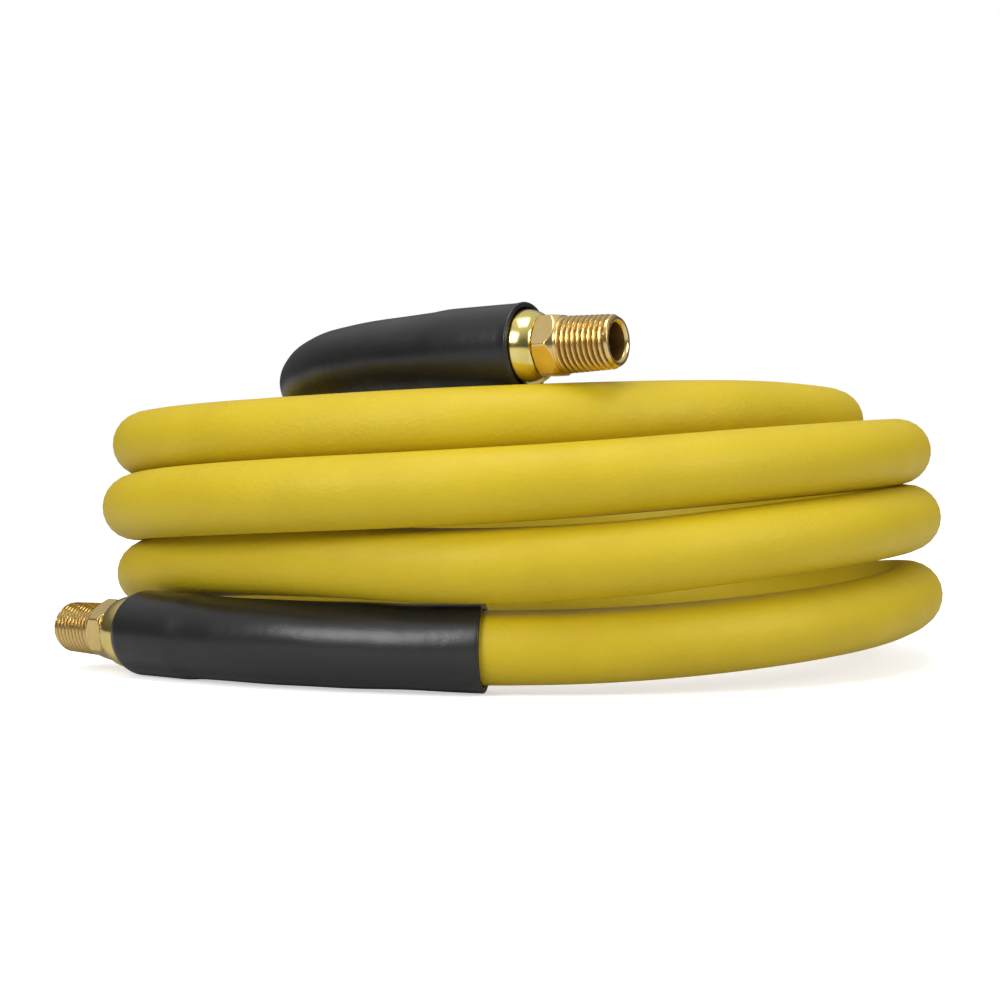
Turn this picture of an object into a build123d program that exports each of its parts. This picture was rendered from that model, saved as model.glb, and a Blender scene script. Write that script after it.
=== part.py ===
"""Coiled rubber air hose with a crimped brass end and a bend restrictor sleeve at each end.

Millimetres, +Z up. The hose lies on its floor at Z = 0, and its coil is wound about the Z axis.
Each end is described along its own axis: stations are measured outwards from the sleeve's mouth.
"""

import os
from math import cos, pi, radians, sin, tan

from build123d import *

# Hose wall, from the bore outwards
HOSE_BORE = 9.5
LINER_WALL = 1.6
PLY_WALL = 0.9
COVER_WALL = 1.65
LINER_R = HOSE_BORE / 2 + LINER_WALL
PLY_R = LINER_R + PLY_WALL
HOSE_R = PLY_R + COVER_WALL

# Crimped ferrule: a brass shell that squeezes the cover, closed by a dome round the stem's neck
FERRULE_WALL = 1.0
FERRULE_GRIP = 21.0
CRIMP_SQUEEZE = 0.4
DOME_REACH = 5.6
DOME_LIP_R = 7.7
FERRULE_BORE_R = HOSE_R - CRIMP_SQUEEZE
FERRULE_R = FERRULE_BORE_R + FERRULE_WALL

# Stem: barbed tail, collar, neck, hexagon and tapered pipe thread in one piece
STEM_BORE_R = 3.3
MOUTH_BORE_R = 4.4
MOUTH_BORE_DEPTH = 12.0
MOUTH_BEVEL = 0.6
STEM_TAIL = 20.0
BARB_COUNT = 5
BARB_DEPTH = 0.35
COLLAR_R = 6.4
NECK_R = 5.6
HEX_ACROSS_FLATS = 14.3
HEX_LENGTH = 5.4
HEX_CHAMFER = 0.8
THREAD_R = 6.72
THREAD_PITCH = 1.411
THREAD_DEPTH = 0.85
THREAD_TURNS = 9
THREAD_LEAD_IN = 0.8
FACE_GAP = 0.2

# Bend restrictor sleeve: a soft tube that stretches over the ferrule
SLEEVE_WALL = 1.35
SLEEVE_LENGTH = 102.0
SLEEVE_CLEARANCE = 0.15
STRETCH_TAPER = 8.0
SLEEVE_BORE_R = HOSE_R + SLEEVE_CLEARANCE
SLEEVE_R = SLEEVE_BORE_R + SLEEVE_WALL
SLEEVE_MOUTH_R = FERRULE_R + SLEEVE_WALL

# The coil's outer shape: a lowest ring flat on the floor, and three rings that lean on it
STACK_CENTRE = (3.6, 0.0)
STACK_TILT = 4.4
STACK_RINGS = [(104.5, 33.0), (105.0, 50.8), (94.0, 65.5)]
BASE_CENTRE = (14.6, 2.0)
BASE_RING = 97.0
BASE_FROM, BASE_TO = -80.6, 120.0
WEB = 10.0
TUNNEL_CLEARANCE = 0.25

# Routes of the two free ends, each from the sleeve's mouth to where the coil takes over.
# Heights are of the hose's middle, above the height at which the stretched sleeve rests.
LOWER_ROUTE = [
    (-96.6, -48.2, 0.0),
    (-70.6, -68.5, 0.0),
    (-37.0, -83.0, 0.0),
    (-3.3, -91.3, 0.0),
    (30.0, -91.5, 1.0),
]
UPPER_ROUTE = [
    (3.4, -78.0, 71.6),
    (-29.9, -58.2, 70.3),
    (-50.2, -25.3, 67.5),
    (-56.2, 14.0, 64.8),
    (-48.6, 46.8, 62.5),
    (-27.4, 73.0, 60.7),
    (3.1, 87.3, 59.4),
    (36.8, 86.7, 58.4),
]
HEX_TURN = {"lower": 25.0, "upper": 0.0}

# Stations along an end's axis, outwards from the sleeve's mouth
HEX_AT = DOME_REACH + FACE_GAP
THREAD_AT = HEX_AT + HEX_LENGTH
TIP_AT = THREAD_AT + THREAD_TURNS * THREAD_PITCH + THREAD_LEAD_IN + THREAD_PITCH / 2
DOME_FROM = -1.0


def tangent_radii(points):
    """One radius for each corner of a route, as large as its shorter neighbouring run allows."""
    radii = []
    for before, corner, after in zip(points, points[1:], points[2:]):
        run_in, run_out = corner - before, after - corner
        half_turn = radians(run_in.get_angle(run_out)) / 2
        radii.append(0.45 * min(run_in.length, run_out.length) / tan(half_turn))
    return radii


def tail_path(name, route):
    """The middle line of one free end, as straight runs joined by tangent arcs."""
    points = [Vector(x, y, z + SLEEVE_MOUTH_R) for x, y, z in route]
    radii = tangent_radii(points)
    with BuildLine() as line:
        FilletPolyline(*points, radius=radii)
    path = line.wires()[0]
    if (path @ 0 - points[0]).length > (path @ 1 - points[0]).length:
        raise ValueError(f"{name} route runs backwards")
    print(f"{name} end: length {path.length:.1f}, arc radii", [round(r) for r in radii])
    return path


def end_axis(path):
    """The outward direction of an end: against its route."""
    return (path % 0) * -1


def profile_plane(path):
    """Plane through an end's axis: local X is the radius and local Y the station along the axis."""
    axis = end_axis(path)
    side = axis.cross(Vector(0, 0, 1)).normalized()
    return Plane(origin=path @ 0, x_dir=side, z_dir=side.cross(axis))


def cross_plane(path, station):
    """Plane square to an end's axis, at a station outwards from the sleeve's mouth."""
    axis = end_axis(path)
    side = axis.cross(Vector(0, 0, 1)).normalized()
    return Plane(origin=path @ 0 + axis * station, x_dir=side, z_dir=axis)


def turning_axis(path):
    return Axis(path @ 0, end_axis(path))


def section_plane(path, at=0.0):
    """Plane square to a route, at a share of its length."""
    return Plane(origin=path @ at, z_dir=path % at)


def make_layer(name, path, inner, outer):
    """One wall layer of a free end: a plain tube along its route."""
    with BuildPart() as layer:
        with BuildSketch(section_plane(path)):
            Circle(outer)
            Circle(inner, mode=Mode.SUBTRACT)
        sweep(path=path)
        if outer == HOSE_R:
            with BuildSketch(cross_plane(path, 0)):
                Circle(outer + FERRULE_WALL)
                Circle(FERRULE_BORE_R, mode=Mode.SUBTRACT)
            extrude(amount=-FERRULE_GRIP, mode=Mode.SUBTRACT)
    wall = pi * (outer**2 - inner**2) * path.length
    print(f"{name}: volume over section times length {layer.part.volume / wall:.3f}")
    return layer


def make_ferrule(path):
    """Brass shell: a straight grip on the hose, then a dome down to the stem's neck."""
    inner_lip = DOME_REACH - FERRULE_WALL
    with BuildPart() as ferrule:
        with BuildSketch(profile_plane(path)):
            with BuildLine():
                Polyline(
                    (NECK_R, DOME_REACH),
                    (NECK_R, inner_lip),
                    (DOME_LIP_R - FERRULE_WALL, inner_lip),
                    (FERRULE_BORE_R, FACE_GAP),
                    (FERRULE_BORE_R, -FERRULE_GRIP),
                    (FERRULE_R - FERRULE_WALL / 3, -FERRULE_GRIP),
                    (FERRULE_R, -FERRULE_GRIP + FERRULE_WALL / 2),
                    (FERRULE_R, DOME_FROM),
                )
                TangentArc((FERRULE_R, DOME_FROM), (DOME_LIP_R, DOME_REACH), tangent=(0, 1))
                Line((DOME_LIP_R, DOME_REACH), (NECK_R, DOME_REACH))
            make_face()
        revolve(axis=turning_axis(path))
    return ferrule


def stem_outline():
    """Half section of the stem: bore, mouth, thread crests and roots, neck, collar and barbs."""
    barb_pitch = STEM_TAIL / BARB_COUNT
    tail_r = HOSE_BORE / 2
    mouth_bottom = TIP_AT - MOUTH_BORE_DEPTH
    points = [
        (STEM_BORE_R, -STEM_TAIL),
        (STEM_BORE_R, mouth_bottom - (MOUTH_BORE_R - STEM_BORE_R)),
        (MOUTH_BORE_R, mouth_bottom),
        (MOUTH_BORE_R, TIP_AT - MOUTH_BEVEL),
        (MOUTH_BORE_R + MOUTH_BEVEL, TIP_AT),
        (THREAD_R - THREAD_DEPTH, TIP_AT),
        (THREAD_R, TIP_AT - THREAD_LEAD_IN),
    ]
    for turn in reversed(range(THREAD_TURNS)):
        groove = THREAD_AT + (turn + 0.5) * THREAD_PITCH
        points += [
            (THREAD_R, groove + 0.45 * THREAD_PITCH),
            (THREAD_R - THREAD_DEPTH, groove),
            (THREAD_R, groove - 0.45 * THREAD_PITCH),
        ]
    points += [
        (THREAD_R, HEX_AT),
        (NECK_R, HEX_AT),
        (NECK_R, DOME_REACH - FERRULE_WALL - FACE_GAP),
        (COLLAR_R, DOME_REACH - FERRULE_WALL - FACE_GAP),
        (COLLAR_R, FACE_GAP),
    ]
    for barb in range(BARB_COUNT):
        top = -barb * barb_pitch
        points += [(tail_r, top), (tail_r, top - barb_pitch / 3), (tail_r - BARB_DEPTH, top - 0.9 * barb_pitch)]
    points += [(tail_r - BARB_DEPTH, -STEM_TAIL)]
    return points


def make_stem(path, hex_turn):
    """Brass stem: the turned body, then the hexagon with both its ends chamfered round."""
    corner_r = HEX_ACROSS_FLATS / 2 / cos(radians(30))
    with BuildPart() as hexagon:
        with BuildSketch(cross_plane(path, HEX_AT)):
            RegularPolygon(HEX_ACROSS_FLATS / 2, 6, major_radius=False, rotation=hex_turn)
            Circle(NECK_R, mode=Mode.SUBTRACT)
        extrude(amount=HEX_LENGTH)
        with BuildSketch(profile_plane(path)):
            with BuildLine():
                Polyline(
                    (STEM_BORE_R, HEX_AT),
                    (corner_r - HEX_CHAMFER / 2, HEX_AT),
                    (corner_r, HEX_AT + HEX_CHAMFER / 4),
                    (corner_r, THREAD_AT - HEX_CHAMFER),
                    (corner_r - 2 * HEX_CHAMFER, THREAD_AT),
                    (STEM_BORE_R, THREAD_AT),
                    close=True,
                )
            make_face()
        revolve(axis=turning_axis(path), mode=Mode.INTERSECT)
    with BuildPart() as stem:
        with BuildSketch(profile_plane(path)):
            with BuildLine():
                Polyline(*stem_outline(), close=True)
            make_face()
        revolve(axis=turning_axis(path))
        add(hexagon.part)
    return stem


def make_sleeve(path):
    """Soft tube along the route, stretched wider where it covers the ferrule."""
    grip_end = -FERRULE_GRIP - TUNNEL_CLEARANCE
    reach = path.trim(0, SLEEVE_LENGTH / path.length)
    with BuildPart() as sleeve:
        with BuildSketch(section_plane(reach)):
            Circle(SLEEVE_R)
        sweep(path=reach)
        with BuildSketch(profile_plane(path)):
            with BuildLine():
                Polyline(
                    (0, 0),
                    (SLEEVE_MOUTH_R, 0),
                    (SLEEVE_MOUTH_R, grip_end + 1),
                    (SLEEVE_R - SLEEVE_WALL / 2, grip_end - STRETCH_TAPER),
                    (0, grip_end - STRETCH_TAPER),
                    close=True,
                )
            make_face()
        revolve(axis=turning_axis(path))
        with BuildSketch(section_plane(reach)):
            Circle(SLEEVE_BORE_R)
        sweep(path=reach, mode=Mode.SUBTRACT)
        with BuildSketch(profile_plane(path)):
            with BuildLine():
                Polyline((0, 0), (FERRULE_R, 0), (FERRULE_R, grip_end), (0, grip_end), close=True)
            make_face()
        revolve(axis=turning_axis(path), mode=Mode.SUBTRACT)
    return sleeve


def make_coil(lower, upper):
    """Closed outer shape of the stacked turns, cleared where the two free ends pass."""
    tilt = radians(STACK_TILT)
    lean = Vector(-sin(tilt), 0, cos(tilt))
    lean_plane = Plane(origin=(*STACK_CENTRE, 0), x_dir=(cos(tilt), 0, sin(tilt)), z_dir=(0, -1, 0))
    start = radians(BASE_FROM)
    base_plane = Plane(
        origin=(*BASE_CENTRE, 0),
        x_dir=(cos(start), sin(start), 0),
        z_dir=(sin(start), -cos(start), 0),
    )
    first, last = STACK_RINGS[0], STACK_RINGS[-1]
    with BuildPart() as coil:
        with BuildSketch(lean_plane):
            for ring_r, ring_z in STACK_RINGS:
                with Locations((ring_r, ring_z)):
                    Circle(HOSE_R)
            with BuildLine():
                Polyline(
                    (first[0] - WEB / 2, first[1]),
                    (first[0] + WEB / 2, first[1]),
                    (last[0] + WEB / 2, last[1]),
                    (last[0] - WEB / 2, last[1]),
                    close=True,
                )
            make_face()
        revolve(axis=Axis((*STACK_CENTRE, 0), lean))
        with BuildSketch(base_plane):
            with Locations((BASE_RING, HOSE_R)):
                Circle(HOSE_R)
            with Locations((BASE_RING, HOSE_R)):
                Rectangle(WEB, first[1] - HOSE_R, align=(Align.CENTER, Align.MIN))
        revolve(axis=Axis((*BASE_CENTRE, 0), (0, 0, 1)), revolution_arc=BASE_TO - BASE_FROM)
        with BuildSketch(section_plane(lower)):
            Circle(SLEEVE_MOUTH_R + TUNNEL_CLEARANCE)
        sweep(path=lower, mode=Mode.SUBTRACT)
        with BuildSketch(section_plane(lower)):
            Circle(SLEEVE_MOUTH_R + TUNNEL_CLEARANCE)
        extrude(amount=-TIP_AT, mode=Mode.SUBTRACT)
        with BuildSketch(section_plane(upper)):
            Circle(HOSE_R + TUNNEL_CLEARANCE)
        sweep(path=upper, mode=Mode.SUBTRACT)
    return coil


def write(builder, name):
    builder.part.label = name
    export_step(builder.part, f"parts/{name}.step")


os.makedirs("parts", exist_ok=True)
tails = {"lower": tail_path("lower", LOWER_ROUTE), "upper": tail_path("upper", UPPER_ROUTE)}
for end, tail in tails.items():
    write(make_layer(f"{end}_liner", tail, HOSE_BORE / 2, LINER_R), f"{end}_liner")
    write(make_layer(f"{end}_ply", tail, LINER_R, PLY_R), f"{end}_ply")
    write(make_layer(f"{end}_cover", tail, PLY_R, HOSE_R), f"{end}_cover")
    write(make_ferrule(tail), f"{end}_ferrule")
    write(make_stem(tail, HEX_TURN[end]), f"{end}_stem")
    write(make_sleeve(tail), f"{end}_sleeve")
write(make_coil(tails["lower"], tails["upper"]), "hose_coil")
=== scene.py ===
"""Coiled rubber air hose with crimped brass ends and bend restrictor sleeves.

Metres, +Z up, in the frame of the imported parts. The hose is one spline from its lower end to its
upper end, and everything on it is carried along that spline or along its first and last direction.
"""

from math import atan2, cos, degrees, floor, pi, radians, sin

import bmesh
import bpy
import numpy as np
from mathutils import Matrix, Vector


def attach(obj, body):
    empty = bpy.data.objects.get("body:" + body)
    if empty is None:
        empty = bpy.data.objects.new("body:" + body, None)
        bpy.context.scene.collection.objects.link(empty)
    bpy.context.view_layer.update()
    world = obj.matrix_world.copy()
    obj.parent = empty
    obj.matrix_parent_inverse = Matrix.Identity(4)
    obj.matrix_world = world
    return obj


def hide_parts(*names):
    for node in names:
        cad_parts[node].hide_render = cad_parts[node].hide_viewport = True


bl_info = {
    "name": "Coiled Air Hose",
    "version": (1, 0, 0),
    "blender": (4, 5, 0),
    "location": "3D View > Sidebar > Air Hose",
    "description": "Builds a coiled rubber air hose with brass ends on its packed parts",
    "category": "Object",
}

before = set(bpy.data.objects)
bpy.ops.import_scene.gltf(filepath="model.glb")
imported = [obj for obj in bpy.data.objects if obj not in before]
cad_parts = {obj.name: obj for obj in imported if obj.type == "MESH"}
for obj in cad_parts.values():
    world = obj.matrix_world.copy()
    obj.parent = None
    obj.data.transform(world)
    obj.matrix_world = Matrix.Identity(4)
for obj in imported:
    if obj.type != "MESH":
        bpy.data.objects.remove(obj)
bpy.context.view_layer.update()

# The two free ends, from the sleeve's mouth to where the coil takes over
REST_HEIGHT = 0.01085
LOWER_ROUTE = [
    (-0.0966, -0.0482, 0.0000),
    (-0.0706, -0.0685, 0.0000),
    (-0.0370, -0.0830, 0.0000),
    (-0.0033, -0.0913, 0.0000),
    (0.0300, -0.0915, 0.0010),
]
UPPER_ROUTE = [
    (0.0034, -0.0780, 0.0716),
    (-0.0299, -0.0582, 0.0703),
    (-0.0502, -0.0253, 0.0675),
    (-0.0562, 0.0140, 0.0648),
    (-0.0486, 0.0468, 0.0625),
    (-0.0274, 0.0730, 0.0607),
    (0.0031, 0.0873, 0.0594),
    (0.0368, 0.0867, 0.0584),
]

# The coil between them: radius and height of the hose's middle at each eighth of a turn,
# anticlockwise from the front of the lowest turn
COIL_CENTRE = (0.0036, 0.0)
COIL_STATIONS = [
    (0.0900, 0.0105), (0.1005, 0.0150), (0.1085, 0.0185), (0.1080, 0.0100),
    (0.1030, 0.0095), (0.1045, 0.0150), (0.1060, 0.0225), (0.0920, 0.0310),
    (0.0970, 0.0305), (0.1020, 0.0375), (0.1075, 0.0395), (0.1060, 0.0350),
    (0.1025, 0.0350), (0.1050, 0.0385), (0.1075, 0.0410), (0.1050, 0.0460),
    (0.0975, 0.0500), (0.0990, 0.0555), (0.1050, 0.0575), (0.1045, 0.0540),
    (0.1030, 0.0535), (0.1060, 0.0565), (0.1065, 0.0590), (0.0935, 0.0615),
    (0.0860, 0.0645), (0.0805, 0.0665), (0.0870, 0.0655), (0.0930, 0.0680),
]
COIL_TURNS = 3
COIL_STEPS = 55

# Stations along a brass end, outwards from the sleeve's mouth
DOME_REACH = 0.0056
HEX_AT = 0.0058
THREAD_AT = 0.0112
TIP_AT = 0.0254
MOUTH_DEPTH = 0.0120
BORE_END_AT = 0.0008
TAIL_AT = -0.0190
HEX_TURN = {"lower": 25.0, "upper": 0.0}

# The brass: the shell's dome starts a little behind the mouth, and falls to its lip
DOME_FROM = -0.0010
LIP_RADIUS = 0.0066
HEX_NEAR_SLOPE = 1.60
HEX_FAR_SLOPE = 0.75
THREAD_TAPER = 1 / 32
THREAD_DEPTH = 0.00088
LEAD_IN_SLOPE = 0.62

# How each sleeve's mouth sits on its shell: set back, and drawn in (or flared, when negative)
MOUTH_SETBACK = {"lower": 0.0013, "upper": -0.0009}
MOUTH_SHRINK = {"lower": 0.0012, "upper": -0.0003}
MOUTH_LENGTH = 0.0030

# Where a sleeve eases down from its shell to the hose, and how loose its free end is
EASE_AT = 0.0195
EASE_LENGTH = 0.0070
LOOSE_LENGTH = 0.0200
LOOSE_ROOM = 0.00035

# Where the camera stands across the coil's front, and the point the lights face
CAMERA_X = -0.0027
LIGHTS_FACE = (0.0, 0.0, 0.05)
LIGHT_SIZE = 0.60
LIGHTS = [
    ("key_light", (-0.80, -1.00, 0.72), 10.0),
    ("fill_light", (1.05, -0.85, 0.62), 7.0),
    ("top_light", (0.00, -0.30, 1.15), 5.5),
]
FLOOR_REACH = 6.0


# ---------------------------------------------------------------- settings


def length_setting(name, description, default):
    return bpy.props.FloatProperty(
        name=name, description=description, default=default, min=0.0,
        unit="LENGTH", subtype="DISTANCE", precision=5,
    )


def colour_setting(name, description, default):
    return bpy.props.FloatVectorProperty(
        name=name, description=description, default=default,
        size=3, min=0.0, max=1.0, subtype="COLOR",
    )


def share_setting(name, description, default):
    return bpy.props.FloatProperty(
        name=name, description=description, default=default,
        min=0.0, max=1.0, subtype="FACTOR",
    )


class HoseSettings(bpy.types.PropertyGroup):
    diameter: length_setting("Diameter", "Outside diameter of the rubber cover", 0.0178)
    grain_height: length_setting("Grain height", "Height of the cover's moulded grain", 0.00008)
    cover_colour: colour_setting("Cover", "Yellow rubber cover", (0.56, 0.41, 0.006))
    shade_colour: colour_setting("Darker cover", "Cover where it is dirty", (0.43, 0.30, 0.005))
    scuff_amount: share_setting("Scuffs", "How much of the cover is scuffed", 0.35)


class SleeveSettings(bpy.types.PropertyGroup):
    length: length_setting("Length", "Length of a sleeve along the hose", 0.1008)
    wall: length_setting("Wall", "Thickness of the sleeve's wall", 0.00135)
    clearance: length_setting("Clearance", "Room between hose and sleeve", 0.00015)
    vinyl_colour: colour_setting("Vinyl", "Black soft vinyl", (0.009, 0.009, 0.010))
    worn_colour: colour_setting("Worn vinyl", "Vinyl where it is rubbed", (0.022, 0.022, 0.023))


class BrassSettings(bpy.types.PropertyGroup):
    shell_radius: length_setting("Shell radius", "Outside radius of the crimped shell", 0.0095)
    shell_grip: length_setting("Shell grip", "How far the shell reaches along the hose", 0.021)
    neck_radius: length_setting("Neck radius", "Radius of the stem inside the shell's lip", 0.0056)
    across_flats: length_setting("Across flats", "Size of the hexagon", 0.0143)
    thread_radius: length_setting("Thread radius", "Crest radius at its middle", 0.00672)
    thread_pitch: length_setting("Thread pitch", "Distance from crest to crest", 0.001411)
    bore_radius: length_setting("Bore radius", "Radius of the bore at the mouth", 0.0044)
    drawn_colour: colour_setting("Drawn brass", "Polished drawn shell", (0.78, 0.64, 0.21))
    turned_colour: colour_setting("Turned brass", "Machined stem", (0.77, 0.56, 0.23))
    # This colour is random tarnish, and also painted shade in the thread roots, the bore, the neck
    # and the inside of the shell's lip.
    tarnish_and_shade_colour: colour_setting("Tarnish", "Brass in its grooves", (0.26, 0.155, 0.04))


class StageSettings(bpy.types.PropertyGroup):
    distance: length_setting("Camera distance", "From the coil's middle to the camera", 0.55)
    eye_height: length_setting("Camera height", "Height of the camera above the floor", 0.058)
    tilt: bpy.props.FloatProperty(
        name="Camera tilt", description="How far the camera looks down",
        default=radians(1.5), subtype="ANGLE",
    )
    focal_length: bpy.props.FloatProperty(
        name="Focal length", description="Camera lens", default=70.2, min=10.0, unit="CAMERA"
    )
    floor_colour: colour_setting("Floor", "Plain pale floor", (0.9, 0.9, 0.9))


# ---------------------------------------------------------------- the hose's line


def blended(stations, position):
    """Catmull-Rom blend: a cubic through the four stations about a position, with even slopes."""
    i = floor(position)
    p = [np.array(stations[min(max(j, 0), len(stations) - 1)]) for j in range(i - 1, i + 3)]
    t = position - i
    return 0.5 * (
        2 * p[1]
        + (p[2] - p[0]) * t
        + (2 * p[0] - 5 * p[1] + 4 * p[2] - p[3]) * t**2
        + (3 * p[1] - p[0] - 3 * p[2] + p[3]) * t**3
    )


def lifted(route):
    """A free end's route, raised by the height of the resting hose's middle."""
    return [Vector((x, y, z + REST_HEIGHT)) for x, y, z in route]


def coil_angle(point):
    """Direction of a point from the coil's middle, in degrees."""
    return degrees(atan2(point[1] - COIL_CENTRE[1], point[0] - COIL_CENTRE[0]))


def hose_points():
    """Lower end, then the coil by equal angles, then the upper end from the coil to its mouth."""
    lower, upper = lifted(LOWER_ROUTE), lifted(UPPER_ROUTE)
    start = coil_angle(lower[-1])
    end = coil_angle(upper[-1]) + 360 * COIL_TURNS
    step = (end - start) / COIL_STEPS
    points = list(lower)
    for k in range(1, COIL_STEPS):
        angle = start + k * step
        radius, height = blended(COIL_STATIONS, (angle + 90) / 45)
        radius /= cos(radians(step / 2))
        points.append(
            Vector((
                COIL_CENTRE[0] + radius * cos(radians(angle)),
                COIL_CENTRE[1] + radius * sin(radians(angle)),
                height,
            ))
        )
    return points + upper[::-1]


def line_of(curve_object):
    """The middle line of a curve object, as an array of points."""
    bare = curve_object.copy()
    bare.data = curve_object.data.copy()
    bare.data.bevel_depth = 0.0
    mesh = bpy.data.meshes.new_from_object(bare)
    line = np.empty(len(mesh.vertices) * 3)
    mesh.vertices.foreach_get("co", line)
    bpy.data.meshes.remove(mesh)
    bpy.data.curves.remove(bare.data)
    return line.reshape(-1, 3)


def end_frame(name):
    """Mouth, outward direction and two cross directions of an end."""
    mouth, inside = lifted(LOWER_ROUTE if name == "lower" else UPPER_ROUTE)[:2]
    axis = (mouth - inside).normalized()
    side = axis.cross(Vector((0, 0, 1))).normalized()
    return np.array(mouth), np.array(axis), np.array(side), np.array(axis.cross(side))


# ---------------------------------------------------------------- meshes


def grid_mesh(name, points, attributes=None, closed_rows=False, closed_columns=True):
    """A mesh from an array (rows, columns, 3): a quad between each four neighbours.

    The rows and the columns may each close on themselves. Points that fall together at a pole are
    merged, and the faces are turned outwards, which a positive enclosed volume shows.
    """
    rows, columns = points.shape[:2]
    index = np.arange(rows * columns).reshape(rows, columns)
    index = np.concatenate([index, index[:1]]) if closed_rows else index
    index = np.concatenate([index, index[:, :1]], axis=1) if closed_columns else index
    quads = np.stack([index[:-1, :-1], index[1:, :-1], index[1:, 1:], index[:-1, 1:]], axis=-1)
    quads = quads.reshape(-1, 4)
    flat = points.reshape(-1, 3)
    a, b, c, d = (flat[quads[:, k]] - flat.mean(axis=0) for k in range(4))
    if np.einsum("ij,ij->", a, np.cross(b, c) + np.cross(c, d)) < 0:
        quads = quads[:, ::-1]
    mesh = bpy.data.meshes.new(name)
    mesh.from_pydata(flat.tolist(), [], quads.tolist())
    for key, values in (attributes or {}).items():
        layer = mesh.attributes.new(key, "FLOAT", "POINT")
        layer.data.foreach_set("value", np.asarray(values, np.float32).ravel())
    work = bmesh.new()
    work.from_mesh(mesh)
    bmesh.ops.remove_doubles(work, verts=work.verts, dist=1e-7)
    work.to_mesh(mesh)
    work.free()
    mesh.shade_smooth()
    mesh.set_sharp_from_angle(angle=radians(38))
    piece = bpy.data.objects.new(name, mesh)
    bpy.context.scene.collection.objects.link(piece)
    return piece


def along_line(line):
    """Distance along a line of points."""
    return np.concatenate([[0.0], np.cumsum(np.linalg.norm(np.diff(line, axis=0), axis=1))])


# ---------------------------------------------------------------- node helpers


def node(tree, kind, inputs=None, **settings):
    """A node with its settings, and each input either linked or set."""
    made = tree.nodes.new(kind)
    for key, value in settings.items():
        setattr(made, key, value)
    for key, value in (inputs or {}).items():
        if isinstance(value, bpy.types.NodeSocket):
            tree.links.new(value, made.inputs[key])
        else:
            made.inputs[key].default_value = value
    return made


def ramp(tree, value, stops):
    """Colour ramp from (position, grey or colour) stops."""
    made = node(tree, "ShaderNodeValToRGB", {0: value})
    elements = made.color_ramp.elements
    while len(elements) < len(stops):
        elements.new(0.5)
    for element, (position, tone) in zip(elements, stops):
        element.position = position
        element.color = (tone, tone, tone, 1) if isinstance(tone, float) else (*tone, 1)
    return made.outputs[0]


def maths(tree, operation, *values):
    """A sum on values or sockets."""
    return node(tree, "ShaderNodeMath", dict(enumerate(values)), operation=operation).outputs[0]


def scaled(tree, value, factor, offset=0.0):
    """A value times a factor, plus an offset."""
    return maths(tree, "MULTIPLY_ADD", value, factor, offset)


def noise(tree, place, scale, detail=3.0, roughness=0.5):
    """Smooth noise from 0 to 1."""
    made = node(tree, "ShaderNodeTexNoise", {"Vector": place, "Scale": scale, "Detail": detail})
    made.inputs["Roughness"].default_value = roughness
    return made.outputs[0]


def mixed(tree, mask, first, second):
    """The first colour where the mask is 0, and the second where it is 1."""
    made = node(tree, "ShaderNodeMix", {0: mask}, data_type="RGBA")
    for socket, value in ((made.inputs[6], first), (made.inputs[7], second)):
        if isinstance(value, bpy.types.NodeSocket):
            tree.links.new(value, socket)
        else:
            socket.default_value = (*value, 1)
    return made.outputs[2]


def new_group(name, inputs, outputs):
    """A shader node group with its sockets, and its input and output nodes."""
    tree = bpy.data.node_groups.new(name, "ShaderNodeTree")
    for key, kind, default in inputs:
        socket = tree.interface.new_socket(key, in_out="INPUT", socket_type=kind)
        if default is not None:
            socket.default_value = default
    for key, kind in outputs:
        tree.interface.new_socket(key, in_out="OUTPUT", socket_type=kind)
    return tree, tree.nodes.new("NodeGroupInput").outputs, tree.nodes.new("NodeGroupOutput").inputs


def fine_grain_group():
    """Fine moulded grain: small bumps with a slower unevenness added, as a height."""
    tree, given, out = new_group(
        "Fine grain",
        [("Place", "NodeSocketVector", None), ("Grains per metre", "NodeSocketFloat", 900.0),
         ("Unevenness", "NodeSocketFloat", 1.0)],
        [("Height", "NodeSocketFloat")],
    )
    cells = node(
        tree, "ShaderNodeTexVoronoi", {"Vector": given[0], "Scale": given[1]}, feature="SMOOTH_F1"
    )
    cells.inputs["Smoothness"].default_value = 0.6
    share = maths(tree, "MULTIPLY", noise(tree, given[0], 420.0, 5.0, 0.65), given[2])
    tree.links.new(maths(tree, "ADD", cells.outputs[0], share), out[0])
    return tree


def handling_marks_group():
    """Handling marks: broad patches, and thin broken scratches. Each is a mask from 0 to 1."""
    tree, given, out = new_group(
        "Handling marks",
        [("Place", "NodeSocketVector", None), ("Amount", "NodeSocketFloat", 0.3)],
        [("Patches", "NodeSocketFloat"), ("Scratches", "NodeSocketFloat")],
    )
    broad = noise(tree, given[0], 28.0, 5.0, 0.6)
    patches = ramp(tree, broad, [(0.48, 0.0), (0.72, 1.0)])
    tree.links.new(maths(tree, "MULTIPLY", patches, given[1]), out[0])
    stretch = {"Vector": given[0], "Scale": (60.0, 60.0, 420.0)}
    drawn = node(tree, "ShaderNodeMapping", stretch).outputs[0]
    thin = ramp(tree, noise(tree, drawn, 4.0, 6.0, 0.7), [(0.66, 0.0), (0.72, 1.0)])
    sparse = ramp(tree, noise(tree, given[0], 60.0, 2.0), [(0.55, 0.0), (0.65, 1.0)])
    both = maths(tree, "MULTIPLY", thin, sparse)
    tree.links.new(maths(tree, "MULTIPLY", both, given[1]), out[1])
    return tree


def shared_group(tree, name, build):
    """A node that uses a group, which is built the first time it is asked for."""
    return node(tree, "ShaderNodeGroup", node_tree=bpy.data.node_groups.get(name) or build())


def new_material(name):
    """A material with its Principled shader, its tree and Object coordinates."""
    material = bpy.data.materials.new(name)
    material.use_nodes = True
    tree = material.node_tree
    shader = tree.nodes["Principled BSDF"]
    place = tree.nodes.new("ShaderNodeTexCoord").outputs["Object"]
    return material, tree, shader, place


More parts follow.
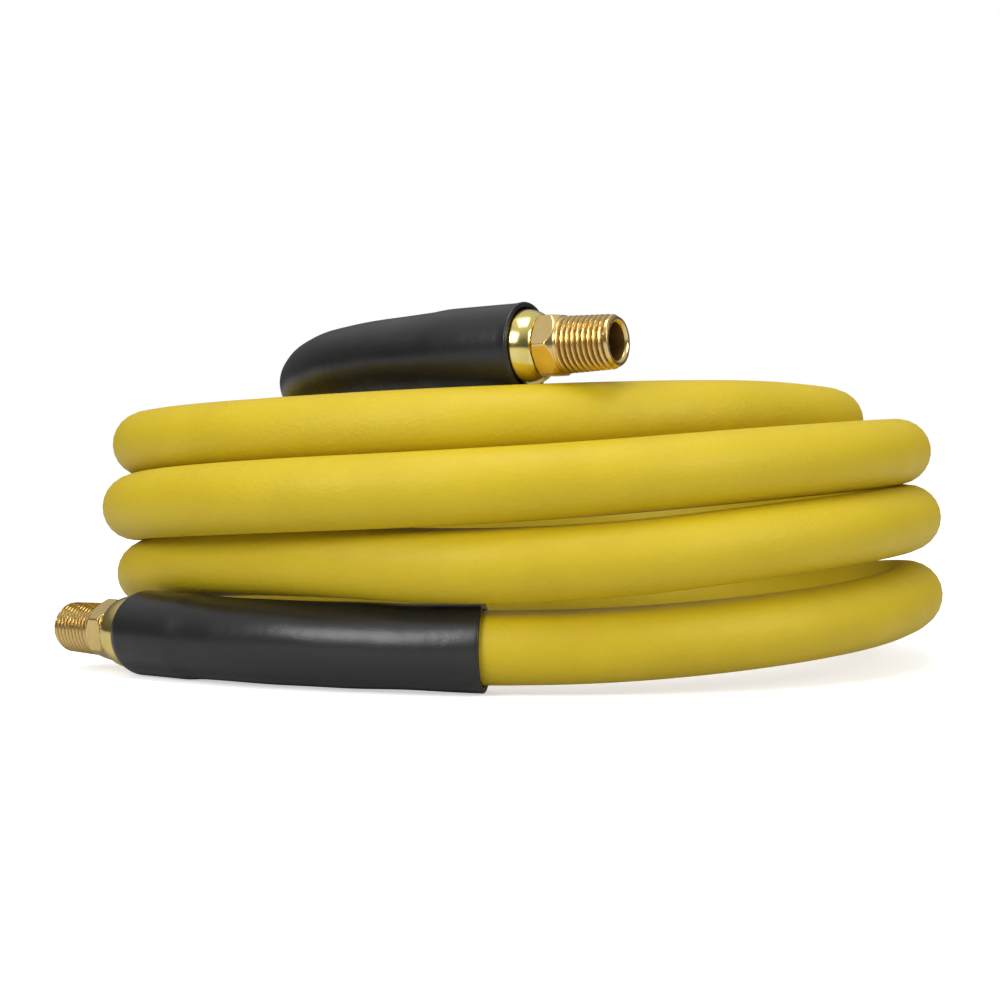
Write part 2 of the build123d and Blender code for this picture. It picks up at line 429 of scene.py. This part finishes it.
def handled(tree, place, grains, marks_amount):
    """A soft surface's grain height, and its masks of patches and of scratches."""
    grain = shared_group(tree, "Fine grain", fine_grain_group)
    marks = shared_group(tree, "Handling marks", handling_marks_group)
    for group in (grain, marks):
        tree.links.new(place, group.inputs["Place"])
    grain.inputs["Grains per metre"].default_value = grains
    marks.inputs["Amount"].default_value = marks_amount
    return grain.outputs[0], marks.outputs[0], marks.outputs[1]


def bumped(tree, height, distance, strength=1.0, **over):
    """A normal bent by a height, over another normal if one is given."""
    inputs = {"Height": height, "Distance": distance, "Strength": strength, **over}
    return node(tree, "ShaderNodeBump", inputs).outputs[0]


# ---------------------------------------------------------------- materials


def rubber_material(settings):
    """Satin rubber: two close yellows, dirtier patches, pale scratches, fine moulded grain."""
    material, tree, shader, place = new_material("hose_rubber")
    grain, patches, scratches = handled(tree, place, 1100.0, settings.scuff_amount)
    mottled = ramp(tree, noise(tree, place, 45.0, 4.0, 0.6), [(0.35, 0.0), (0.75, 1.0)])
    tint = mixed(tree, scaled(tree, mottled, 0.22), settings.cover_colour, settings.shade_colour)
    tint = mixed(tree, patches, tint, settings.shade_colour)
    tint = mixed(tree, scratches, tint, (0.34, 0.27, 0.08))
    tree.links.new(tint, shader.inputs["Base Color"])
    tree.links.new(scaled(tree, mottled, 0.12, 0.50), shader.inputs["Roughness"])
    shader.inputs["Specular IOR Level"].default_value = 0.38
    tree.links.new(bumped(tree, grain, settings.grain_height), shader.inputs["Normal"])
    return material


def vinyl_material(settings):
    """Soft black vinyl: satin, a little paler where rubbed, slow dents and fine grain."""
    material, tree, shader, place = new_material("sleeve_vinyl")
    grain, patches, scratches = handled(tree, place, 1500.0, 0.5)
    tint = mixed(tree, patches, settings.vinyl_colour, settings.worn_colour)
    tint = mixed(tree, scratches, tint, (0.08, 0.08, 0.08))
    tree.links.new(tint, shader.inputs["Base Color"])
    slow = noise(tree, place, 70.0, 3.0, 0.5)
    tree.links.new(scaled(tree, slow, 0.2, 0.23), shader.inputs["Roughness"])
    dents = bumped(tree, slow, 0.0006, 0.5)
    tree.links.new(bumped(tree, grain, 0.00003, 0.5, Normal=dents), shader.inputs["Normal"])
    return material


def brass_material(name, bright, tarnish_and_shade, roughness, tool_lines):
    """Brass: bright where it is proud, with tarnish and painted shade in its grooves, bore and
    hollows, and fine tool lines round it.
    """
    material, tree, shader, place = new_material(name)
    shader.inputs["Metallic"].default_value = 1.0
    # The groove attribute is painted shade in the recesses (thread roots, bore, neck, the lip's
    # inside), mixed with random cloudy tarnish below.
    groove = node(tree, "ShaderNodeAttribute", attribute_name="groove").outputs["Fac"]
    station = node(tree, "ShaderNodeAttribute", attribute_name="station").outputs["Fac"]
    cloudy = ramp(tree, noise(tree, place, 260.0, 5.0, 0.65), [(0.4, 0.0), (0.8, 1.0)])
    # Tarnish and painted shade: the larger of the groove's painted shade and the cloudy tarnish
    # picks the dark tarnish colour.
    tarnish_and_shade_mask = maths(tree, "MAXIMUM", groove, scaled(tree, cloudy, 0.22))
    tree.links.new(mixed(tree, tarnish_and_shade_mask, bright, tarnish_and_shade), shader.inputs["Base Color"])
    tree.links.new(scaled(tree, tarnish_and_shade_mask, 0.28, roughness), shader.inputs["Roughness"])
    lines = node(tree, "ShaderNodeCombineXYZ", {2: scaled(tree, station, 9000.0)}).outputs[0]
    turned = noise(tree, lines, 1.0, 2.0, 0.6)
    pitted = noise(tree, place, 900.0, 3.0, 0.6)
    height = maths(tree, "ADD", turned, scaled(tree, pitted, 0.5))
    tree.links.new(bumped(tree, height, tool_lines, 0.5), shader.inputs["Normal"])
    return material


def studio_world():
    """Soft studio surround: dim at the horizon, bright overhead, plain white where it is seen."""
    world = bpy.data.worlds.new("studio")
    world.use_nodes = True
    tree = world.node_tree
    direction = tree.nodes.new("ShaderNodeTexCoord").outputs["Generated"]
    height = node(tree, "ShaderNodeSeparateXYZ", {0: direction}).outputs[2]
    glow = ramp(tree, height, [(0.0, 0.08), (0.35, 0.20), (0.75, 0.75), (1.0, 0.85)])
    light = node(tree, "ShaderNodeBackground", {"Color": glow, "Strength": 0.95}).outputs[0]
    seen = node(tree, "ShaderNodeBackground", {"Color": (1, 1, 1, 1), "Strength": 1.0}).outputs[0]
    camera_ray = tree.nodes.new("ShaderNodeLightPath").outputs["Is Camera Ray"]
    choice = node(tree, "ShaderNodeMixShader", {0: camera_ray, 1: light, 2: seen}).outputs[0]
    tree.links.new(choice, tree.nodes["World Output"].inputs["Surface"])
    return world


# ---------------------------------------------------------------- pieces


def carried(radius_at, line, distances, columns=96):
    """A tube's surface: at each distance along a line, a ring of the radius given there.

    Point = line(d) + r(d, a) * (side(d) cos a + up(d) sin a), with side level and up square to it.
    The line runs straight on for 5 mm before its start, and its direction at a distance is taken
    over half a millimetre to each side.
    """
    lead, near = 0.005, 0.0005
    first = (line[1] - line[0]) / np.linalg.norm(line[1] - line[0])
    line = np.concatenate([[line[0] - lead * first], line])
    along = along_line(line) - lead

    def place(wanted):
        return np.stack([np.interp(wanted, along, line[:, k]) for k in range(3)], axis=1)

    axis = place(distances + near) - place(distances - near)
    axis /= np.linalg.norm(axis, axis=1)[:, None]
    side = np.cross(axis, (0, 0, 1))
    side /= np.linalg.norm(side, axis=1)[:, None]
    up = np.cross(side, axis)
    angle = np.linspace(0, 2 * pi, columns, endpoint=False)
    ring = side[:, None] * np.cos(angle)[:, None] + up[:, None] * np.sin(angle)[:, None]
    return place(distances)[:, None] + radius_at(distances, angle)[..., None] * ring


def make_sleeve(name, line, settings, hose_diameter, shell_radius, material):
    """A soft tube: outside from its mouth to its free end, over the rim and back inside.

    The outer radius is the hose's plus the wall, wider over the brass shell, where it eases down
    over 7 mm. At the mouth it is drawn in over the shell's shoulder, or flared, by the square of
    the share of the last 3 mm that is left. Slow sine swellings of a tenth of a millimetre run
    along it and round it, the free end is a third of a millimetre loose, and the rims are round.
    The wall inside has as many rings as the bend needs, so that it follows the outside.
    """
    length, wall = settings.length, settings.wall
    bore, skin = hose_diameter / 2 + settings.clearance, shell_radius + 0.00003
    outer, stretched = bore + wall, shell_radius + wall
    rim, shrink, setback = wall * 0.4, MOUTH_SHRINK[name], MOUTH_SETBACK[name]
    turn = np.linspace(0, pi / 2, 9)
    mouth_at = setback + rim * (1 - np.cos(turn[:-1]))
    end_at = length - rim * (1 - np.sin(turn[1:]))
    outside = np.concatenate([
        mouth_at,
        np.linspace(setback + rim, setback + 0.0040, 14),
        np.linspace(setback + 0.0045, length - rim, 140),
        end_at,
    ])
    inside = np.concatenate([
        [length, length - 0.0004],
        np.linspace(length - 0.0020, 0.0270, 50),
        [0.0250, 0.0230, 0.0210, EASE_AT, 0.0140, 0.0080],
        [setback + MOUTH_LENGTH, setback + 0.0006, setback],
    ])
    turned_back = len(outside)

    def radius_at(d, a):
        ease = np.clip((d - EASE_AT) / EASE_LENGTH, 0, 1)
        ease = ease * ease * (3 - 2 * ease)
        mouth = np.clip(1 - (d - setback) / MOUTH_LENGTH, 0, 1) ** 2
        loose = LOOSE_ROOM * np.clip((d - length + LOOSE_LENGTH) / LOOSE_LENGTH, 0, 1) ** 2
        uneven = 0.00009 * np.sin(d * 210)[:, None] * np.sin(2 * a + d[:, None] * 60)
        uneven = uneven + 0.00006 * np.sin(3 * a + d[:, None] * 95 + 1.3)
        r = stretched + (outer - stretched) * ease + loose - shrink * mouth
        r = r[:, None] + uneven * (0.25 + 0.75 * ease)[:, None]
        r[: len(mouth_at)] -= (rim * (1 - np.sin(turn[:-1])))[:, None]
        r[turned_back - len(end_at) : turned_back] -= (rim * (1 - np.cos(turn[1:])))[:, None]
        inner = skin + (bore - skin) * ease + loose + max(-shrink, 0) * mouth
        r[turned_back:] = inner[turned_back:, None]
        r[turned_back] += 0.3 * wall
        r[-1] += 0.0001
        return r

    points = carried(radius_at, line, np.concatenate([outside, inside]))
    piece = grid_mesh(f"{name}_bend_sleeve", points, closed_rows=True)
    piece.data.materials.append(material)
    return piece


def turned_piece(piece_name, end, radius, stations, angle, groove, material, closed_rows=False):
    """A mesh round an end's axis.

    Point = mouth + axis * station + radius * (side cos a + up sin a).
    """
    mouth, axis, side, up = end_frame(end)
    ring = side * np.cos(angle)[:, None] + up * np.sin(angle)[:, None]
    points = mouth + axis * stations[..., None] + radius[..., None] * ring[None]
    piece = grid_mesh(piece_name, points, {"groove": groove, "station": stations}, closed_rows)
    piece.data.materials.append(material)
    return piece


def rings(profile, columns):
    """The radii and the stations of a profile of (radius, station) rows, alike at every angle."""
    return [np.repeat(profile[:, k : k + 1], columns, axis=1) for k in range(2)]


def make_shell(name, settings, material):
    """The crimped shell: a straight grip, a drawn dome that falls to its lip, the lip turned in.

    The dome is a quarter of an ellipse: level where it leaves the grip, and steep at the lip, where
    its radius is the lip's plus the rest times the root of one less the squared share of its reach.
    """
    columns, r, neck = 128, settings.shell_radius, settings.neck_radius
    dome_length = DOME_REACH - DOME_FROM
    station = DOME_FROM + dome_length * np.sin(np.linspace(0, 0.485 * pi, 26))
    share = (station - DOME_FROM) / dome_length
    dome = np.stack([LIP_RADIUS + (r - LIP_RADIUS) * np.sqrt(1 - share**2), station], axis=1)
    along_grip = np.linspace(-settings.shell_grip, DOME_FROM, 20)[:-1]
    grip = np.stack([np.full(len(along_grip), r), along_grip], axis=1)
    inside = np.array([
        (LIP_RADIUS, DOME_REACH),
        (neck + 0.0003, DOME_REACH - 0.0002),
        (neck + 0.0001, DOME_REACH - 0.0010),
        (neck + 0.0001, DOME_REACH - 0.0020),
        (neck + 0.0012, DOME_REACH - 0.0020),
        (r - 0.0010, 0.0002),
        (r - 0.0010, -settings.shell_grip),
    ])
    radius, stations = rings(np.concatenate([grip, dome, inside]), columns)
    angle = np.linspace(0, 2 * pi, columns, endpoint=False)
    # Painted shade: the inside of the turned-in lip takes 0.9 of the dark tarnish colour.
    groove = np.where((radius < LIP_RADIUS) & (stations > 0), 0.9, 0.0)
    return turned_piece(
        f"{name}_crimp_shell", name, radius, stations, angle, groove, material, closed_rows=True
    )


def hexagon_rings(settings, angle, turn):
    """The hexagon: the smaller of its own radius, a cone from each end and the broken corner.

    A hexagon's radius is half its width over the cosine of the angle from its flat's middle. The
    cone by the neck is steep, and the one by the thread is the longer chamfer.
    """
    half = settings.across_flats / 2
    station = np.concatenate([
        [HEX_AT],
        np.linspace(HEX_AT, HEX_AT + 0.0009, 7),
        np.linspace(HEX_AT + 0.0012, THREAD_AT - 0.0017, 8),
        np.linspace(THREAD_AT - 0.0016, THREAD_AT, 13),
    ])[:, None]
    flats = half / np.cos((angle - turn) % (pi / 3) - pi / 6)
    near_cone = half + 0.0002 + (station - HEX_AT) * HEX_NEAR_SLOPE
    far_cone = half - 0.0001 + (THREAD_AT - station) * HEX_FAR_SLOPE
    corner = half / cos(radians(30)) - 0.00012
    radius = np.minimum(np.minimum(flats[None], near_cone), np.minimum(far_cone, corner))
    radius[0] = settings.neck_radius
    return radius, np.repeat(station, len(angle), axis=1)


def thread_rings(settings, angle):
    """The thread, and how deep in its groove each point lies, from 0 to 1.

    The crest's radius falls 1 in 32 along the axis. The groove is a rounded V whose phase turns
    once a pitch. It deepens over the first turn and runs out through the lead-in cone.
    """
    station = np.linspace(THREAD_AT, TIP_AT, 190)[:, None]
    crest = settings.thread_radius - (station - (THREAD_AT + TIP_AT) / 2) * THREAD_TAPER
    phase = (station / settings.thread_pitch - angle[None] / (2 * pi)) % 1.0
    valley = np.clip((np.abs(2 * phase - 1) - 0.10) / 0.80, 0, 1)
    starting = np.clip((station - THREAD_AT - 0.0003) / (0.6 * settings.thread_pitch), 0, 1)
    depth = THREAD_DEPTH * valley * starting
    lead_in = settings.thread_radius - 0.00098 + (TIP_AT - station) * LEAD_IN_SLOPE
    radius = np.minimum(crest - depth, lead_in)
    # Tarnish and painted shade: the groove's depth darkens the thread's roots towards the tarnish
    # colour.
    share = np.clip(depth / THREAD_DEPTH, 0, 1) ** 1.5 * (crest - depth < lead_in)
    return radius, np.repeat(station, len(angle), axis=1), share


def make_stem(name, settings, material):
    """Stem: closed tail, neck, hexagon, tapered helical thread, bevelled mouth and blind bore.

    The tail and the neck carry painted shade as dark as a groove's, and the bore behind its bevel
    carries the full painted shade.
    """
    columns = 192
    angle = np.linspace(0, 2 * pi, columns, endpoint=False)
    bore, neck, floor_at = settings.bore_radius, settings.neck_radius, TIP_AT - MOUTH_DEPTH
    tail = np.array([
        (0.0, TAIL_AT), (0.00440, TAIL_AT), (0.00475, TAIL_AT + 0.0004), (0.00475, 0.0030),
        (neck, 0.0032), (neck, 0.0035), (neck, HEX_AT),
    ])
    bevel = np.array([
        (settings.thread_radius - 0.00108, TIP_AT), (bore + 0.00075, TIP_AT),
        (bore + 0.00060, TIP_AT - 0.00005), (bore + 0.00008, TIP_AT - 0.00055),
    ])
    inside = np.array([
        (bore, TIP_AT - 0.0008), (bore, floor_at),
        (0.0033, floor_at - 0.0011), (0.0033, BORE_END_AT), (0.0, BORE_END_AT),
    ])
    thread_radius, thread_station, thread_groove = thread_rings(settings, angle)
    hex_radius, hex_station = hexagon_rings(settings, angle, radians(HEX_TURN[name]))
    rows = [
        # Painted shade: the tail and the neck take 0.9 of the dark tarnish colour.
        (*rings(tail, columns), np.full((len(tail), columns), 0.9)),
        (hex_radius, hex_station, np.zeros_like(hex_radius)),
        (thread_radius, thread_station, thread_groove),
        (*rings(bevel, columns), np.zeros((len(bevel), columns))),
        # Painted shade: the bore takes the full dark tarnish colour.
        (*rings(inside, columns), np.ones((len(inside), columns))),
    ]
    radius, stations, groove = (np.concatenate([row[k] for row in rows]) for k in range(3))
    return turned_piece(f"{name}_stem_fitting", name, radius, stations, angle, groove, material)


# ---------------------------------------------------------------- operators


class AIRHOSE_OT_camera(bpy.types.Operator):
    """Place the camera in front of the coil, a little above its middle"""

    bl_idname = "air_hose.camera"
    bl_label = "Place Camera"

    def execute(self, context):
        stage = context.scene.air_hose_stage
        lens = bpy.data.cameras.new("camera")
        lens.lens, lens.sensor_width = stage.focal_length, 36.0
        lens.clip_start, lens.clip_end = 0.01, 50.0
        camera = bpy.data.objects.new("camera", lens)
        camera.location = (CAMERA_X, -stage.distance, stage.eye_height)
        camera.rotation_euler = (pi / 2 - stage.tilt, 0, 0)
        context.scene.collection.objects.link(camera)
        context.scene.camera = camera
        return {"FINISHED"}


class AIRHOSE_OT_hose(bpy.types.Operator):
    """Lay the hose along its line, as one spline"""

    bl_idname = "air_hose.hose"
    bl_label = "Lay Hose"

    def execute(self, context):
        settings = context.scene.air_hose_hose
        curve = bpy.data.curves.new("hose", "CURVE")
        curve.dimensions = "3D"
        spline = curve.splines.new("NURBS")
        points = hose_points()
        spline.points.add(len(points) - 1)
        for slot, point in zip(spline.points, points):
            slot.co = (*point, 1.0)
        spline.order_u = 3
        spline.use_endpoint_u = True
        spline.resolution_u = 12
        curve.bevel_depth = settings.diameter / 2
        curve.bevel_resolution = 10
        curve.use_fill_caps = True
        hose = bpy.data.objects.new("hose", curve)
        context.scene.collection.objects.link(hose)
        hose.data.materials.append(rubber_material(settings))
        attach(hose, "root")
        layers = [
            f"{end}_{layer}" for end in ("lower", "upper") for layer in ("liner", "ply", "cover")
        ]
        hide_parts("hose_coil", *layers)
        return {"FINISHED"}


class AIRHOSE_OT_sleeves(bpy.types.Operator):
    """Slide a bend restrictor sleeve over each end of the hose"""

    bl_idname = "air_hose.sleeves"
    bl_label = "Slide On Sleeves"

    def execute(self, context):
        settings = context.scene.air_hose_sleeves
        line = line_of(bpy.data.objects["hose"])
        diameter = context.scene.air_hose_hose.diameter
        shell = context.scene.air_hose_brass.shell_radius
        material = vinyl_material(settings)
        for name, route in (("lower", line), ("upper", line[::-1])):
            sleeve = make_sleeve(name, route, settings, diameter, shell, material)
            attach(sleeve, "root")
            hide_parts(f"{name}_sleeve")
        return {"FINISHED"}


class AIRHOSE_OT_fittings(bpy.types.Operator):
    """Crimp a brass shell and a threaded stem onto each end of the hose"""

    bl_idname = "air_hose.fittings"
    bl_label = "Crimp Brass Ends"

    def execute(self, context):
        settings = context.scene.air_hose_brass
        tarnish_and_shade = settings.tarnish_and_shade_colour
        drawn = brass_material("drawn_brass", settings.drawn_colour, tarnish_and_shade, 0.14, 0.000004)
        turned = brass_material("turned_brass", settings.turned_colour, tarnish_and_shade, 0.20, 0.000010)
        for name in ("lower", "upper"):
            shell = make_shell(name, settings, drawn)
            stem = make_stem(name, settings, turned)
            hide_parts(f"{name}_ferrule")
            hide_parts(f"{name}_stem")
            for piece in (shell, stem):
                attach(piece, "root")
        return {"FINISHED"}


class AIRHOSE_OT_stage(bpy.types.Operator):
    """Lay a plain pale floor and set the soft lights"""

    bl_idname = "air_hose.stage"
    bl_label = "Set Stage"

    def execute(self, context):
        settings = context.scene.air_hose_stage
        across = FLOOR_REACH * np.array([-1.0, 1.0])
        corners = np.array([[(x, y, 0.0) for x in across] for y in across])
        floor_piece = grid_mesh("floor", corners, closed_columns=False)
        material, tree, shader, _ = new_material("floor_white")
        seen = tree.nodes.new("ShaderNodeLightPath").outputs["Is Camera Ray"]
        base = mixed(tree, seen, (0.62, 0.62, 0.62), settings.floor_colour)
        glow = mixed(tree, seen, (0.0, 0.0, 0.0), (0.55, 0.55, 0.55))
        tree.links.new(base, shader.inputs["Base Color"])
        tree.links.new(glow, shader.inputs["Emission Color"])
        shader.inputs["Emission Strength"].default_value = 1.0
        shader.inputs["Roughness"].default_value = 0.6
        floor_piece.data.materials.append(material)
        for name, position, power in LIGHTS:
            lamp = bpy.data.lights.new(name, "AREA")
            lamp.shape, lamp.size, lamp.energy = "SQUARE", LIGHT_SIZE, power
            light = bpy.data.objects.new(name, lamp)
            light.location = position
            facing = Vector(LIGHTS_FACE) - Vector(position)
            light.rotation_euler = facing.to_track_quat("-Z", "Y").to_euler()
            context.scene.collection.objects.link(light)
        context.scene.world = studio_world()
        context.scene.view_settings.view_transform = "Standard"
        return {"FINISHED"}


class AIRHOSE_PT_panel(bpy.types.Panel):
    """Lists the hose's operators and settings"""

    bl_label = "Coiled Air Hose"
    bl_idname = "AIRHOSE_PT_panel"
    bl_space_type = "VIEW_3D"
    bl_region_type = "UI"
    bl_category = "Air Hose"

    def draw(self, context):
        for operator, group in STEPS:
            box = self.layout.box()
            box.operator(operator.bl_idname)
            settings = getattr(context.scene, group)
            for key in settings.bl_rna.properties.keys():
                if key not in ("rna_type", "name"):
                    box.prop(settings, key)


STEPS = [
    (AIRHOSE_OT_camera, "air_hose_stage"),
    (AIRHOSE_OT_hose, "air_hose_hose"),
    (AIRHOSE_OT_sleeves, "air_hose_sleeves"),
    (AIRHOSE_OT_fittings, "air_hose_brass"),
    (AIRHOSE_OT_stage, "air_hose_stage"),
]
GROUPS = {
    "air_hose_hose": HoseSettings,
    "air_hose_sleeves": SleeveSettings,
    "air_hose_brass": BrassSettings,
    "air_hose_stage": StageSettings,
}
CLASSES = [*GROUPS.values(), *(operator for operator, group in STEPS), AIRHOSE_PT_panel]


def register():
    for made in CLASSES:
        bpy.utils.register_class(made)
    for name, made in GROUPS.items():
        setattr(bpy.types.Scene, name, bpy.props.PointerProperty(type=made))


def unregister():
    for name in GROUPS:
        delattr(bpy.types.Scene, name)
    for made in reversed(CLASSES):
        bpy.utils.unregister_class(made)


def main():
    register()
    bpy.ops.air_hose.camera()
    bpy.ops.air_hose.hose()
    bpy.ops.air_hose.sleeves()
    bpy.ops.air_hose.fittings()
    bpy.ops.air_hose.stage()


if __name__ == "__main__":
    main()
